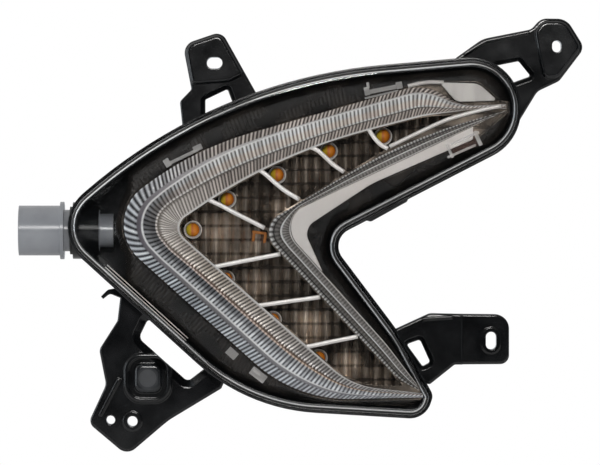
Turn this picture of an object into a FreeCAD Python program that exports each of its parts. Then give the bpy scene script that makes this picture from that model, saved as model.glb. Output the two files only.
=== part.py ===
import FreeCAD, Part
import math
import os

# Front parking light of a car: a wedge-shaped lamp with four moulded fixing arms and a side bulb socket.
# Millimetres. +X runs along the lamp, +Z is up and the lens faces -Y.
# The origin is on the axis of the ringed hole in the lower left arm, at the front face of that arm.

# Housing
rim_front_y = -14.0
rim_depth = 8.0
groove_wall = 1.4
groove_width = 2.4
groove_depth = 6.0
groove_inner_wall = 1.4
body_depth = 38.0
body_step = 2.4
body_draft = 2.8
back_wall = 2.4
cavity_draft = 2.3
smallest_radius = 0.4
cut_margin = 2.0
rib_thickness = 2.0
rib_height = 4.0

# Lens and its bead
lens_wall = 1.8
lens_fit = 0.2
lens_height = 24.0
lens_draft = 1.0
lens_face_radius = 1100.0
lens_face_centre_x = 90.0
lens_edge_radius = 3.0
bead_thickness = 1.6

# Reflector
optics_height = 7.0
reflector_plate = 2.5
reflector_depth = 20.0
cell_depth = 16.5
cell_wall = 1.4
cell_ledge = 0.6
fin_thickness = 1.4
flute_pitch = 5.5
flute_rise = 1.6
post_radius = 3.5
board_post_radius = 3.0

# Fluted band and light bar
band_pitch = 2.2
band_crest = 5.0
band_outer_height = 2.4
band_inner_height = 1.8
band_groove = 1.0
band_outer_row = 0.22
band_inner_row = 0.66
bar_pitch = 3.0
bar_crest = 4.0
bar_edge_height = 2.6
bar_groove = 0.7
bar_outer_row = 0.25
bar_inner_row = 0.75
trim_height = 3.0
trim_gap = 0.3

# Amber domes and their boards
dome_radius = 3.8
dome_height = 12.0
dome_fit = 0.3
board_thickness = 1.6

# Screws
screw_radius = 1.5
screw_fit = 0.05
screw_pass = 0.4
screw_head_radius = 3.2
screw_head_height = 2.0
screw_grip = 9.0
board_screw_radius = 1.1
board_screw_head_radius = 2.2
board_screw_head_height = 1.5
board_screw_grip = 6.0

# Socket, along -X
socket_z = 105.2
socket_depth = 22.0
boss_radius = 15.7
boss_end_x = -33.0
boss_inner_x = -14.0
sleeve_wall = 1.8
sleeve_end_x = -18.4
neck_radius = 11.5
neck_fit = 0.3
neck_gap = 4.9
flange_radius = 15.9
flange_thickness = 2.1
shroud_radius = 13.8
shroud_length = 22.9
shroud_wall = 2.2
shroud_bore_depth = 17.0
nose_radius = 9.3
neck_end_x = -18.0
nose_end_x = -10.5
gasket_thickness = 1.6
gasket_radius = 13.2
blade_width = 2.8
blade_thickness = 0.8
blade_spacing = 7.0
blade_reach = 8.0
bulb_radius = 5.0
bulb_length = 22.0
wedge_width = 9.0
wedge_thickness = 2.4
wedge_depth = 8.0
wedge_fit = 0.2

# Vent
vent_x = 150.0
vent_z = 172.0
vent_pipe_radius = 4.0
vent_pipe_bore = 2.0
vent_pipe_length = 5.0
vent_cap_radius = 6.5
vent_cap_length = 6.5
vent_fit = 0.2

# Fixing arms
arm_y = 0.0
arm_plate = 3.0
arm_depth = 9.0
arm_wall = 2.4
ring_rise = 1.0
ringed_hole_radius = 2.83
ringed_hole_ring = 5.2
small_hole_x = -12.0
small_hole_z = 0.7
small_hole_radius = 2.42
small_hole_ring = 4.4
step_back = 4.0
arm_edge_radius = 1.2
box_rise = 4.0
box_edge_radius = 2.0
box_moat = 3.2
box_surround = 2.6
box_surround_rise = 2.4
edge_rib_thickness = 1.6
edge_rib_rise = 1.2
tab_rise = 2.5
tab_edge_radius = 1.6
narrow_chamfer = 2.4
wide_chamfer = 4.2
hook_plate = 3.0
clip_front_y = -12.0
clip_back_y = -6.0
clip_edge_radius = 0.8

# Outlines: corners as x, z and corner radius
rim_corners = [
    (-47.3, 107.7, 24.0),
    (45.1, 188.0, 288.0),
    (213.7, 202.8, 28.0),
    (213.7, 154.2, 28.0),
    (108.4, 100.0, 10.0),
    (147.4, 48.3, 110.0),
    (165.6, 14.7, 6.0),
    (161.2, 1.5, 12.0),
    (63.3, 7.3, 107.0),
]
band_outer = [
    (205.2, 174.6, 0.0),
    (180.0, 173.4, 28.0),
    (161.2, 185.8, 27.0),
    (34.5, 149.7, 180.0),
    (-18.2, 110.2, 25.0),
    (90.0, 12.5, 77.0),
    (159.6, 13.8, 0.0),
]
band_inner = [
    (205.2, 171.9, 0.0),
    (184.0, 171.3, 60.0),
    (160.0, 168.0, 60.0),
    (81.6, 147.5, 300.0),
    (21.6, 107.4, 7.6),
    (121.0, 20.2, 44.0),
    (159.6, 16.0, 0.0),
]
bar_outer = [
    (206.0, 171.0, 0.0),
    (150.0, 155.3, 300.0),
    (69.2, 106.6, 11.0),
    (146.0, 24.0, 40.0),
    (157.6, 17.6, 0.0),
]
bar_inner = [
    (193.0, 165.2, 0.0),
    (150.0, 144.6, 600.0),
    (78.5, 111.3, 13.5),
    (140.0, 42.6, 150.0),
    (157.0, 20.0, 0.0),
]
cell_upper_tip = (180.0, 169.2, 0.8)
cell_lower_tip = (150.0, 19.5, 0.8)
trim_corners = [
    (187.0, 164.0, 0.0),
    (187.0, 155.0, 1.5),
    (131.5, 130.8, 60.0),
    (94.2, 106.2, 8.0),
    (104.6, 83.0, 0.0),
    (96.0, 84.0, 0.0),
    (82.0, 112.0, 0.0),
]
tip_corners = [
    (168.5, 186.2, 1.0),
    (190.0, 185.6, 9.0),
    (200.6, 176.2, 1.0),
    (178.0, 175.6, 6.0),
]
plate_corners = [
    (207.0, 175.8, 1.0),
    (202.0, 176.6, 2.0),
    (190.6, 186.9, 9.0),
    (161.0, 187.2, 27.0),
    (34.0, 151.0, 180.0),
    (-20.0, 110.2, 26.0),
    (89.5, 11.2, 78.0),
    (159.0, 12.6, 1.0),
    (157.6, 20.2, 1.0),
    (105.4, 82.4, 4.0),
    (94.6, 105.6, 8.0),
    (131.0, 129.8, 60.0),
    (188.0, 154.2, 2.0),
    (207.0, 170.2, 1.0),
]
fin_lines = [
    ((128.9, 162.7), (135.9, 152.4), (146.0, 147.5)),
    ((95.2, 152.8), (109.9, 142.2), (122.0, 133.0)),
    ((65.9, 141.5), (83.6, 127.1), (98.0, 118.7)),
    ((41.0, 122.7), (58.4, 113.9), (79.0, 103.5)),
    ((43.0, 84.8), (59.8, 88.1), (86.0, 93.2)),
    ((67.0, 63.7), (83.9, 66.0), (108.0, 69.4)),
    ((93.0, 40.9), (106.5, 43.6), (129.0, 48.2)),
]
dome_places = [
    (138.1, 157.0),
    (108.2, 148.8),
    (79.8, 135.7),
    (52.4, 122.3),
    (33.5, 105.6),
    (51.6, 78.4),
    (77.4, 56.0),
    (102.6, 35.0),
]
upper_board_corners = [
    (44.0, 117.0, 3.0),
    (58.0, 114.0, 3.0),
    (147.0, 151.0, 3.0),
    (147.0, 163.0, 3.0),
    (130.0, 169.6, 3.0),
    (54.0, 142.5, 3.0),
    (44.0, 130.0, 3.0),
]
lower_board_corners = [
    (27.0, 103.0, 3.0),
    (34.0, 112.0, 3.0),
    (43.0, 108.0, 3.0),
    (118.0, 46.0, 3.0),
    (118.0, 29.0, 3.0),
    (90.0, 29.0, 3.0),
    (56.0, 61.0, 3.0),
]
upper_board_screws = [(58.0, 137.6), (127.4, 164.8)]
lower_board_screws = [(61.8, 62.4), (92.4, 37.8)]
post_places = [(9.0, 121.0), (90.0, 161.0), (168.0, 177.0), (104.0, 23.0), (28.0, 78.0)]
bulb_window_corners = [(-4.0, 95.0, 4.0), (14.0, 95.0, 4.0), (14.0, 113.0, 4.0), (-4.0, 113.0, 4.0)]
rib_lines = [
    ((10.0, 76.0), (46.0, 150.0)),
    ((60.0, 60.0), (100.0, 168.0)),
    ((30.0, 106.0), (92.0, 106.0)),
    ((130.0, 126.0), (128.0, 180.0)),
    ((180.0, 152.0), (176.0, 186.0)),
    ((84.0, 30.0), (128.0, 56.0)),
]

# Fixing arm outlines and windows
upper_left_arm = [
    (28.0, 158.0, 0.0),
    (26.1, 176.4, 3.0),
    (32.5, 183.0, 2.0),
    (27.7, 207.8, 7.0),
    (49.2, 215.1, 6.0),
    (69.9, 178.1, 2.0),
    (72.0, 164.0, 0.0),
]
upper_left_tab = [
    (32.8, 185.6, 2.4),
    (29.0, 207.2, 6.0),
    (48.6, 213.8, 5.0),
    (61.4, 191.0, 2.4),
    (53.0, 187.0, 3.0),
]
upper_left_window = [
    (40.2, 177.4, 1.0),
    (52.4, 183.2, 1.0),
    (56.6, 171.8, 1.0),
    (40.2, 167.4, 1.0),
]
upper_right_arm = [
    (172.0, 188.0, 0.0),
    (178.6, 200.6, 2.0),
    (193.1, 210.9, 14.0),
    (220.0, 216.2, 6.0),
    (225.4, 222.2, 7.0),
    (239.4, 222.0, 9.0),
    (249.4, 206.0, 6.0),
    (235.4, 187.6, 6.0),
    (223.3, 181.9, 8.0),
    (213.0, 165.0, 0.0),
    (195.0, 164.0, 0.0),
]
upper_right_tab = [
    (221.6, 214.4, 5.0),
    (226.2, 220.6, 6.0),
    (238.8, 220.6, 8.0),
    (247.6, 206.0, 5.0),
    (235.0, 189.6, 5.0),
    (226.6, 188.4, 4.0),
]
upper_right_window = [
    (199.4, 195.9, 1.0),
    (213.0, 198.6, 1.5),
    (219.6, 190.4, 1.0),
    (209.6, 186.8, 1.0),
]
lower_right_root = [
    (144.0, 50.5, 0.0),
    (163.9, 59.6, 7.0),
    (182.0, 59.2, 0.0),
    (182.0, 31.2, 0.0),
    (177.7, 31.2, 2.0),
    (163.9, 20.2, 2.0),
    (152.0, 24.0, 0.0),
]
lower_right_ear = [
    (177.0, 59.2, 0.0),
    (207.9, 58.9, 8.0),
    (207.9, 31.4, 5.0),
    (177.0, 31.2, 0.0),
]
lower_right_window = [
    (151.3, 42.4, 1.0),
    (158.6, 45.0, 1.5),
    (164.2, 32.6, 1.5),
    (160.0, 30.4, 1.0),
]
lower_left_arm = [
    (10.0, 68.0, 0.0),
    (-6.6, 70.0, 0.0),
    (-8.3, 55.4, 4.0),
    (-18.4, 39.5, 5.0),
    (-14.6, 20.2, 7.0),
    (-24.4, -1.0, 5.0),
    (-3.0, -19.0, 7.0),
    (19.8, 0.4, 40.0),
    (49.0, 18.0, 2.0),
    (53.0, 27.0, 0.0),
]
lower_left_window = [
    (8.6, 56.4, 2.0),
    (3.4, 45.8, 4.0),
    (30.4, 21.9, 3.0),
    (40.4, 29.6, 1.0),
    (26.6, 42.0, 9.0),
    (20.0, 49.6, 4.0),
]
hook_corners = [
    (-17.4, 68.8, 0.4),
    (-13.6, 72.6, 3.0),
    (-2.0, 74.6, 0.0),
    (4.0, 66.0, 0.0),
    (-7.2, 68.2, 1.5),
    (-12.4, 70.4, 2.5),
    (-16.2, 67.4, 0.4),
]
notch_clip_corners = [
    (124.4, 111.8, 1.0),
    (131.4, 110.0, 2.5),
    (151.2, 121.0, 1.5),
    (153.6, 126.4, 1.0),
    (150.4, 130.4, 0.0),
    (122.0, 116.6, 0.0),
]
raised_box_corners = [(1.1, 15.8, 4.0), (16.0, 15.8, 4.0), (16.0, 31.8, 4.0), (1.1, 31.8, 4.0)]
edge_rib_lines = [
    ((-7.3, 23.3), (-17.8, 3.2)),
    ((183.0, 202.2), (194.6, 209.4)),
    ((194.6, 209.4), (218.6, 214.2)),
    ((160.0, 56.4), (176.4, 57.4)),
]

# Slots as centre x, centre z, width along x and height along z
upper_left_slot = (45.3, 197.6, 8.6, 6.3)
upper_right_slot = (233.9, 206.7, 5.1, 6.5)
lower_right_slot = (197.9, 44.4, 5.8, 9.7)
slot_ring = 2.3

# Worked-out places
body_back_y = rim_front_y + body_depth
cavity_back_y = body_back_y - back_wall
cavity_inset = groove_wall + groove_width + groove_inner_wall
lens_inset = groove_wall + lens_fit
bead_front_y = rim_front_y + groove_depth - bead_thickness
seat_y = rim_front_y - optics_height
reflector_back_y = seat_y + reflector_depth
board_back_y = reflector_back_y + board_thickness
socket_y = rim_front_y + socket_depth


def filleted_edges(corners, y, inset=0.0, closed=True):
    """Straight runs joined by tangent arcs in the plane at y; a closed loop can be moved inwards."""
    points = [FreeCAD.Vector(x, y, z) for x, z, radius in corners]
    count = len(points)
    area = sum(a.x * b.z - b.x * a.z for a, b in zip(points, points[1:] + points[:1]))
    side = math.copysign(1.0, area)
    runs = [(points[(i + 1) % count] - points[i]).normalize() for i in range(count)]
    edges = []
    ends = []
    for i, (x, z, radius) in enumerate(corners):
        before = runs[i - 1]
        after = runs[i]
        if not closed and i in (0, count - 1):
            ends.append((points[i], points[i], None))
            continue
        normal_before = FreeCAD.Vector(-before.z, 0, before.x) * side
        normal_after = FreeCAD.Vector(-after.z, 0, after.x) * side
        shift = (normal_before + normal_after) * (inset / (1.0 + normal_before.dot(normal_after)))
        corner = points[i] + shift
        if radius == 0.0:
            ends.append((corner, corner, None))
            continue
        convex = (before.x * after.z - before.z * after.x) * side > 0
        round_radius = max(radius - inset, smallest_radius) if convex else radius + inset
        half_turn = 0.5 * math.acos(max(-1.0, min(1.0, before.dot(after))))
        tangent = round_radius * math.tan(half_turn)
        inwards = (after - before).normalize()
        middle = corner + inwards * (round_radius / math.cos(half_turn) - round_radius)
        ends.append((corner - before * tangent, corner + after * tangent, middle))
    for i, (start, end, middle) in enumerate(ends):
        if middle is not None:
            edges.append(Part.Arc(start, middle, end).toShape())
        if closed or i < count - 1:
            edges.append(Part.LineSegment(end, ends[(i + 1) % count][0]).toShape())
    return edges


def outline(corners, y, inset=0.0):
    """Closed wire through filleted corners."""
    return Part.Wire(filleted_edges(corners, y, inset))


def plate(corners, front_y, back_y, inset=0.0):
    """Flat plate of the outline between two planes."""
    return Part.Face(outline(corners, front_y, inset)).extrude(FreeCAD.Vector(0, back_y - front_y, 0))


def tapered(corners, front_y, front_inset, back_y, back_inset):
    """Block of the outline whose sides lean."""
    sections = [outline(corners, front_y, front_inset), outline(corners, back_y, back_inset)]
    return Part.makeLoft(sections, True, True)


def along_y(x, z, radius, front_y, back_y):
    """Round bar along Y."""
    return Part.makeCylinder(radius, back_y - front_y, FreeCAD.Vector(x, front_y, z), FreeCAD.Vector(0, 1, 0))


def along_x(radius, start_x, end_x):
    """Round bar on the socket's axis."""
    start = FreeCAD.Vector(start_x, socket_y, socket_z)
    return Part.makeCylinder(radius, end_x - start_x, start, FreeCAD.Vector(1, 0, 0))


def wall(start, end, thickness, front_y, back_y):
    """Upright wall of a given thickness between two points."""
    first = FreeCAD.Vector(start[0], front_y, start[1])
    last = FreeCAD.Vector(end[0], front_y, end[1])
    run = last - first
    across = FreeCAD.Vector(-run.z, 0, run.x).normalize() * (0.5 * thickness)
    corners = [first + across, last + across, last - across, first - across, first + across]
    return Part.Face(Part.makePolygon(corners)).extrude(FreeCAD.Vector(0, back_y - front_y, 0))


def slot_corners(slot, margin=0.0):
    """Rounded slot as an outline, wider all round by the margin."""
    x, z, width, height = slot
    half_width = 0.5 * width + margin
    half_height = 0.5 * height + margin
    radius = 0.98 * min(half_width, half_height)
    signs = [(-1, -1), (1, -1), (1, 1), (-1, 1)]
    return [(x + half_width * a, z + half_height * b, radius) for a, b in signs]


def rounded_front(block, radius):
    """Block with the edge round its front face rounded."""
    front = min(block.Faces, key=lambda face: face.CenterOfMass.y)
    return block.makeFillet(radius, front.Edges)


def arm(corners, front_y):
    """Moulded arm: a plate with a rounded front edge and a wall round its back."""
    block = rounded_front(plate(corners, front_y, front_y + arm_depth), arm_edge_radius)
    return block.cut(plate(corners, front_y + arm_plate, front_y + arm_depth, arm_wall))


def windowed_arm(corners, window, chamfer):
    """Arm whose window opens outwards at a slope in front."""
    opening = tapered(window, arm_y, -chamfer, arm_y + arm_plate, 0.0)
    return arm(corners, arm_y).cut(opening)


def raised_tab(corners):
    """Raised end of an arm with a rounded edge."""
    return rounded_front(plate(corners, arm_y - tab_rise, arm_y + arm_plate), tab_edge_radius)


def raised_box():
    """Raised box with a moat and a low surround on the lower left arm."""
    box = rounded_front(plate(raised_box_corners, arm_y - box_rise, arm_y + arm_plate), box_edge_radius)
    surround_y = arm_y - box_surround_rise
    surround = plate(raised_box_corners, surround_y, arm_y + arm_plate, -box_moat - box_surround)
    surround = rounded_front(surround, arm_edge_radius)
    return box.fuse(surround.cut(plate(raised_box_corners, surround_y, arm_y + arm_plate, -box_moat)))


def slotted_boss(slot, front_y):
    """Raised ring round a slot, through the depth of the arm."""
    return plate(slot_corners(slot, slot_ring), front_y - ring_rise, front_y + arm_depth)


def ridged_band(outer, inner, pitch, profile, groove):
    """Loft of crest and valley sections that alternate along two edges."""
    half_pitch = 0.5 * pitch
    pairs = []
    outer_edges = filleted_edges(outer, seat_y, closed=False)
    inner_edges = filleted_edges(inner, seat_y, closed=False)
    spans = list(zip(outer_edges, inner_edges))
    for span in spans:
        steps = max(1, round(0.5 * (span[0].Length + span[1].Length) / half_pitch))
        for step in range(steps):
            share = step / steps
            pairs.append([e.valueAt(e.getParameterByLength(share * e.Length)) for e in span])
    pairs.append([e.valueAt(e.LastParameter) for e in spans[-1]])
    sections = []
    for index, (outer_point, inner_point) in enumerate(pairs):
        drop = groove if index % 2 else 0.0
        points = [outer_point]
        for share, height in profile:
            foot = outer_point + (inner_point - outer_point) * share
            points.append(foot - FreeCAD.Vector(0, height - drop, 0))
        points.append(inner_point)
        points.append(outer_point)
        sections.append(Part.makePolygon(points))
    return Part.makeLoft(sections, True, True)


def make_rear_housing():
    """Rim, tapered body, arms and socket boss in one moulding."""
    rim_back_y = rim_front_y + rim_depth
    body = plate(rim_corners, rim_front_y, rim_back_y)
    tapered_body = tapered(rim_corners, rim_back_y, body_step, body_back_y, body_step + body_draft)
    arms = [
        windowed_arm(upper_left_arm, upper_left_window, narrow_chamfer),
        windowed_arm(upper_right_arm, upper_right_window, narrow_chamfer),
        windowed_arm(lower_right_root, lower_right_window, narrow_chamfer),
        windowed_arm(lower_left_arm, lower_left_window, wide_chamfer),
        arm(lower_right_ear, arm_y + step_back),
        raised_tab(upper_left_tab),
        raised_tab(upper_right_tab),
        slotted_boss(upper_left_slot, arm_y),
        slotted_boss(upper_right_slot, arm_y),
        slotted_boss(lower_right_slot, arm_y + step_back),
        along_y(0, 0, ringed_hole_ring, arm_y - ring_rise, arm_y + arm_depth),
        along_y(small_hole_x, small_hole_z, small_hole_ring, arm_y, arm_y + arm_depth),
        raised_box(),
        plate(hook_corners, arm_y, arm_y + hook_plate),
        rounded_front(plate(notch_clip_corners, clip_front_y, clip_back_y), clip_edge_radius),
    ]
    edge_rib_y = arm_y - edge_rib_rise
    arms += [wall(a, b, edge_rib_thickness, edge_rib_y, arm_y + arm_plate) for a, b in edge_rib_lines]
    boss = along_x(boss_radius, boss_end_x, boss_inner_x)
    ribs = [wall(a, b, rib_thickness, cavity_back_y, body_back_y + rib_height) for a, b in rib_lines]
    pipe = along_y(vent_x, vent_z, vent_pipe_radius, cavity_back_y, body_back_y + vent_pipe_length)
    body = body.multiFuse([tapered_body, boss, pipe] + arms + ribs)
    cavity = tapered(rim_corners, rim_front_y, cavity_inset, cavity_back_y, cavity_inset + cavity_draft)
    groove_back_y = rim_front_y + groove_depth
    groove = plate(rim_corners, rim_front_y, groove_back_y, groove_wall)
    groove = groove.cut(plate(rim_corners, rim_front_y, groove_back_y, groove_wall + groove_width))
    far_y = arm_y + arm_depth + step_back
    near_y = arm_y - box_rise
    holes = [
        plate(upper_left_window, near_y, far_y),
        plate(upper_right_window, near_y, far_y),
        plate(lower_right_window, near_y, far_y),
        plate(lower_left_window, near_y, far_y),
        plate(slot_corners(upper_left_slot), near_y, far_y),
        plate(slot_corners(upper_right_slot), near_y, far_y),
        plate(slot_corners(lower_right_slot), near_y, far_y),
        along_y(0, 0, ringed_hole_radius, near_y, far_y),
        along_y(small_hole_x, small_hole_z, small_hole_radius, near_y, far_y),
        along_x(neck_radius + neck_fit, boss_end_x, 0.0),
        along_y(vent_x, vent_z, vent_pipe_bore, cavity_back_y, body_back_y + vent_pipe_length),
    ]
    for x, z in post_places:
        holes.append(along_y(x, z, screw_radius + screw_pass, cavity_back_y, body_back_y + rib_height))
        holes.append(along_y(x, z, screw_head_radius + screw_pass, body_back_y, body_back_y + rib_height))
    body = body.cut([cavity, groove] + holes)
    sleeve = along_x(neck_radius + neck_fit + sleeve_wall, boss_end_x, sleeve_end_x)
    return body.fuse(sleeve.cut(along_x(neck_radius + neck_fit, boss_end_x, sleeve_end_x)))


def make_lens_sealant():
    """Bead that fills the bottom of the groove."""
    back_y = rim_front_y + groove_depth
    outer = plate(rim_corners, bead_front_y, back_y, groove_wall)
    return outer.cut(plate(rim_corners, bead_front_y, back_y, groove_wall + groove_width))


def lens_block(inset, front_y):
    """Drafted block of the lens outline with a gently curved front."""
    block = tapered(rim_corners, front_y - cut_margin, inset + lens_draft, bead_front_y, inset)
    centre = FreeCAD.Vector(lens_face_centre_x, front_y + lens_face_radius, 0)
    bottom = FreeCAD.Vector(0, 0, block.BoundBox.ZMin - cut_margin)
    height = block.BoundBox.ZLength + 2.0 * cut_margin
    face = Part.makeCylinder(lens_face_radius, height, centre + bottom, FreeCAD.Vector(0, 0, 1))
    return block.common(face)


def make_outer_lens():
    """Clear cover with a rounded front edge and a skirt that stands in the groove."""
    front_y = rim_front_y - lens_height
    outer = lens_block(lens_inset, front_y)
    outer = rounded_front(outer, lens_edge_radius)
    inner = lens_block(lens_inset + lens_wall, front_y + lens_wall)
    inner = rounded_front(inner, lens_edge_radius - lens_wall)
    return outer.cut(inner)


def cell_region(front_y, back_y, inset):
    """Block between the inner edge of the band and the cell side of the bar."""
    corners = [cell_upper_tip] + band_inner[2:-1] + [cell_lower_tip] + list(reversed(bar_outer[1:-1]))
    return plate(corners, front_y, back_y, inset)


def fluted_block(box, floor_y):
    """Block with upright round flutes across its back, as wide and tall as the box."""
    count = math.ceil(box.XLength / flute_pitch)
    start_x = box.Center.x - 0.5 * count * flute_pitch
    end_x = start_x + count * flute_pitch
    front_y = box.YMin - cut_margin
    low_z = box.ZMin - cut_margin
    edges = []
    for index in range(count):
        left = FreeCAD.Vector(start_x + index * flute_pitch, floor_y, low_z)
        middle = left + FreeCAD.Vector(0.5 * flute_pitch, flute_rise, 0)
        edges.append(Part.Arc(left, middle, left + FreeCAD.Vector(flute_pitch, 0, 0)).toShape())
    corners = [
        FreeCAD.Vector(end_x, floor_y, low_z),
        FreeCAD.Vector(end_x, front_y, low_z),
        FreeCAD.Vector(start_x, front_y, low_z),
        FreeCAD.Vector(start_x, floor_y, low_z),
    ]
    edges += [Part.LineSegment(a, b).toShape() for a, b in zip(corners, corners[1:])]
    return Part.Face(Part.Wire(edges)).extrude(FreeCAD.Vector(0, 0, box.ZLength + 2.0 * cut_margin))


def make_main_reflector():
    """Plate with eight fluted cells behind it, fins between the cells and posts at the back."""
    plate_back_y = seat_y + reflector_plate
    floor_y = seat_y + cell_depth
    body = plate(plate_corners, seat_y, plate_back_y)
    cups = [cell_region(seat_y, reflector_back_y, cell_ledge - cell_wall)]
    cup_radius = dome_radius + dome_fit + cell_wall
    cups += [along_y(x, z, cup_radius, plate_back_y, reflector_back_y) for x, z in dome_places]
    posts = [along_y(x, z, post_radius, seat_y, cavity_back_y) for x, z in post_places]
    board_posts = [
        along_y(x, z, board_post_radius, seat_y, reflector_back_y)
        for x, z in upper_board_screws + lower_board_screws
    ]
    body = body.multiFuse(cups + posts + board_posts)
    cells = cell_region(seat_y, reflector_back_y, cell_ledge)
    cells = cells.common(fluted_block(cells.BoundBox, floor_y))
    fins = []
    for line in fin_lines:
        for start, end in zip(line, line[1:]):
            fins.append(wall(start, end, fin_thickness, seat_y, reflector_back_y))
    holes = [along_y(x, z, dome_radius + dome_fit, plate_back_y, reflector_back_y) for x, z in dome_places]
    for x, z in post_places:
        holes.append(along_y(x, z, screw_radius + screw_fit, cavity_back_y - screw_grip, cavity_back_y))
    for x, z in upper_board_screws + lower_board_screws:
        radius = board_screw_radius + screw_fit
        holes.append(along_y(x, z, radius, reflector_back_y - board_screw_grip, reflector_back_y))
    holes.append(plate(bulb_window_corners, seat_y, plate_back_y))
    return body.cut([cells.cut(fins)] + holes)


def make_fluted_light_guide():
    """Clear band with cross ridges in three rows."""
    profile = [
        (0.0, band_outer_height),
        (band_outer_row, band_crest),
        (band_inner_row, band_crest),
        (1.0, band_inner_height),
    ]
    return ridged_band(band_outer, band_inner, band_pitch, profile, band_groove)


def make_inner_light_bar():
    """Clear chevron bar with cross ribs."""
    profile = [
        (0.0, bar_edge_height),
        (bar_outer_row, bar_crest),
        (bar_inner_row, bar_crest),
        (1.0, bar_edge_height),
    ]
    return ridged_band(bar_outer, bar_inner, bar_pitch, profile, bar_groove)


def make_trim_bezel():
    """Pale strip that follows the notch side of the bar."""
    strip = plate(trim_corners, seat_y - trim_height, seat_y)
    bar_room = plate(bar_outer + list(reversed(bar_inner)), seat_y - trim_height, seat_y, -trim_gap)
    return strip.cut(bar_room)


def make_upper_tip_bezel():
    """Pale plate outside the band at the upper tip."""
    strip = plate(tip_corners, seat_y - trim_height, seat_y)
    band_room = plate(band_outer + list(reversed(band_inner)), seat_y - trim_height, seat_y, -trim_gap)
    return strip.cut(band_room)


def make_amber_led(x, z):
    """Amber dome that stands on its board."""
    top_y = reflector_back_y - dome_height
    stem = along_y(x, z, dome_radius, top_y + dome_radius, reflector_back_y)
    ball = Part.makeSphere(dome_radius, FreeCAD.Vector(x, top_y + dome_radius, z))
    return stem.fuse(ball).removeSplitter()


def make_board(corners, screws):
    """Circuit board with its screw holes."""
    board = plate(corners, reflector_back_y, board_back_y)
    radius = board_screw_radius + screw_fit
    return board.cut([along_y(x, z, radius, reflector_back_y, board_back_y) for x, z in screws])


def make_board_screw(x, z):
    """Small pan head screw that enters a board post from behind."""
    shank = along_y(x, z, board_screw_radius, reflector_back_y - board_screw_grip, board_back_y)
    head_y = board_back_y + board_screw_head_height
    return shank.fuse(along_y(x, z, board_screw_head_radius, board_back_y, head_y))


def make_reflector_screw(x, z):
    """Pan head screw through the back wall into a post."""
    shank = along_y(x, z, screw_radius, cavity_back_y - screw_grip, body_back_y)
    return shank.fuse(along_y(x, z, screw_head_radius, body_back_y, body_back_y + screw_head_height))


def socket_places():
    """Places along X of the gasket's face, the flange, the shroud's root and the shroud's mouth."""
    flange_inner_x = boss_end_x - neck_gap
    flange_outer_x = flange_inner_x - flange_thickness
    mouth_x = flange_outer_x - shroud_length
    return flange_inner_x, flange_outer_x, mouth_x, mouth_x + shroud_bore_depth


def blade_box(sign):
    """One flat terminal blade, from the plug side to the foot of the bulb."""
    floor_x = socket_places()[3]
    inner_x = nose_end_x - wedge_depth
    corner = FreeCAD.Vector(
        floor_x - blade_reach,
        socket_y + sign * 0.5 * blade_spacing - 0.5 * blade_thickness,
        socket_z - 0.5 * blade_width,
    )
    return Part.makeBox(inner_x - floor_x + blade_reach, blade_thickness, blade_width, corner)


def wedge_box(fit):
    """Flat foot of the bulb, wider all round by the fit."""
    width = wedge_width + 2.0 * fit
    thickness = wedge_thickness + 2.0 * fit
    corner = FreeCAD.Vector(nose_end_x - wedge_depth, socket_y - 0.5 * width, socket_z - 0.5 * thickness)
    return Part.makeBox(wedge_depth, width, thickness, corner)


def make_bulb_socket():
    """Round socket with a flange, a neck through the boss and an open shroud for the plug."""
    flange_inner_x, flange_outer_x, mouth_x, floor_x = socket_places()
    shroud = along_x(shroud_radius, mouth_x, flange_outer_x)
    flange = along_x(flange_radius, flange_outer_x, flange_inner_x)
    neck = along_x(neck_radius, flange_inner_x, neck_end_x)
    nose = along_x(nose_radius, neck_end_x, nose_end_x)
    body = shroud.multiFuse([flange, neck, nose])
    bore = along_x(shroud_radius - shroud_wall, mouth_x, floor_x)
    return body.cut([bore, blade_box(-1), blade_box(1), wedge_box(wedge_fit)])


def make_socket_gasket():
    """Ring on the neck, against the end of the boss."""
    ring = along_x(gasket_radius, boss_end_x - gasket_thickness, boss_end_x)
    return ring.cut(along_x(neck_radius, boss_end_x - gasket_thickness, boss_end_x))


def make_bulb():
    """Glass envelope with a round end, on a flat foot."""
    end_x = nose_end_x + bulb_length - bulb_radius
    tube = along_x(bulb_radius, nose_end_x, end_x)
    ball = Part.makeSphere(bulb_radius, FreeCAD.Vector(end_x, socket_y, socket_z))
    return tube.multiFuse([ball, wedge_box(0.0)]).removeSplitter()


def make_breather_vent():
    """Cap over the vent pipe."""
    cap = along_y(vent_x, vent_z, vent_cap_radius, body_back_y, body_back_y + vent_cap_length)
    pipe_end_y = body_back_y + vent_pipe_length
    return cap.cut(along_y(vent_x, vent_z, vent_pipe_radius + vent_fit, body_back_y, pipe_end_y))


def export(name, shapes):
    """One STEP file for one named piece or for a group of like pieces."""
    shape = shapes[0] if len(shapes) == 1 else Part.makeCompound(shapes)
    shape.exportStep(os.path.join("parts", name + ".step"))


os.makedirs("parts", exist_ok=True)
export("rear_housing", [make_rear_housing()])
export("lens_sealant", [make_lens_sealant()])
export("outer_lens", [make_outer_lens()])
export("main_reflector", [make_main_reflector()])
export("fluted_light_guide", [make_fluted_light_guide()])
export("inner_light_bar", [make_inner_light_bar()])
export("trim_bezel", [make_trim_bezel()])
export("upper_tip_bezel", [make_upper_tip_bezel()])
for number, (dome_x, dome_z) in enumerate(dome_places, start=1):
    export("amber_led_" + str(number), [make_amber_led(dome_x, dome_z)])
export("upper_led_board", [make_board(upper_board_corners, upper_board_screws)])
export("lower_led_board", [make_board(lower_board_corners, lower_board_screws)])
export("board_screws", [make_board_screw(x, z) for x, z in upper_board_screws + lower_board_screws])
export("reflector_screws", [make_reflector_screw(x, z) for x, z in post_places])
export("bulb_socket", [make_bulb_socket()])
export("socket_terminals", [blade_box(-1), blade_box(1)])
export("socket_gasket", [make_socket_gasket()])
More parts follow.
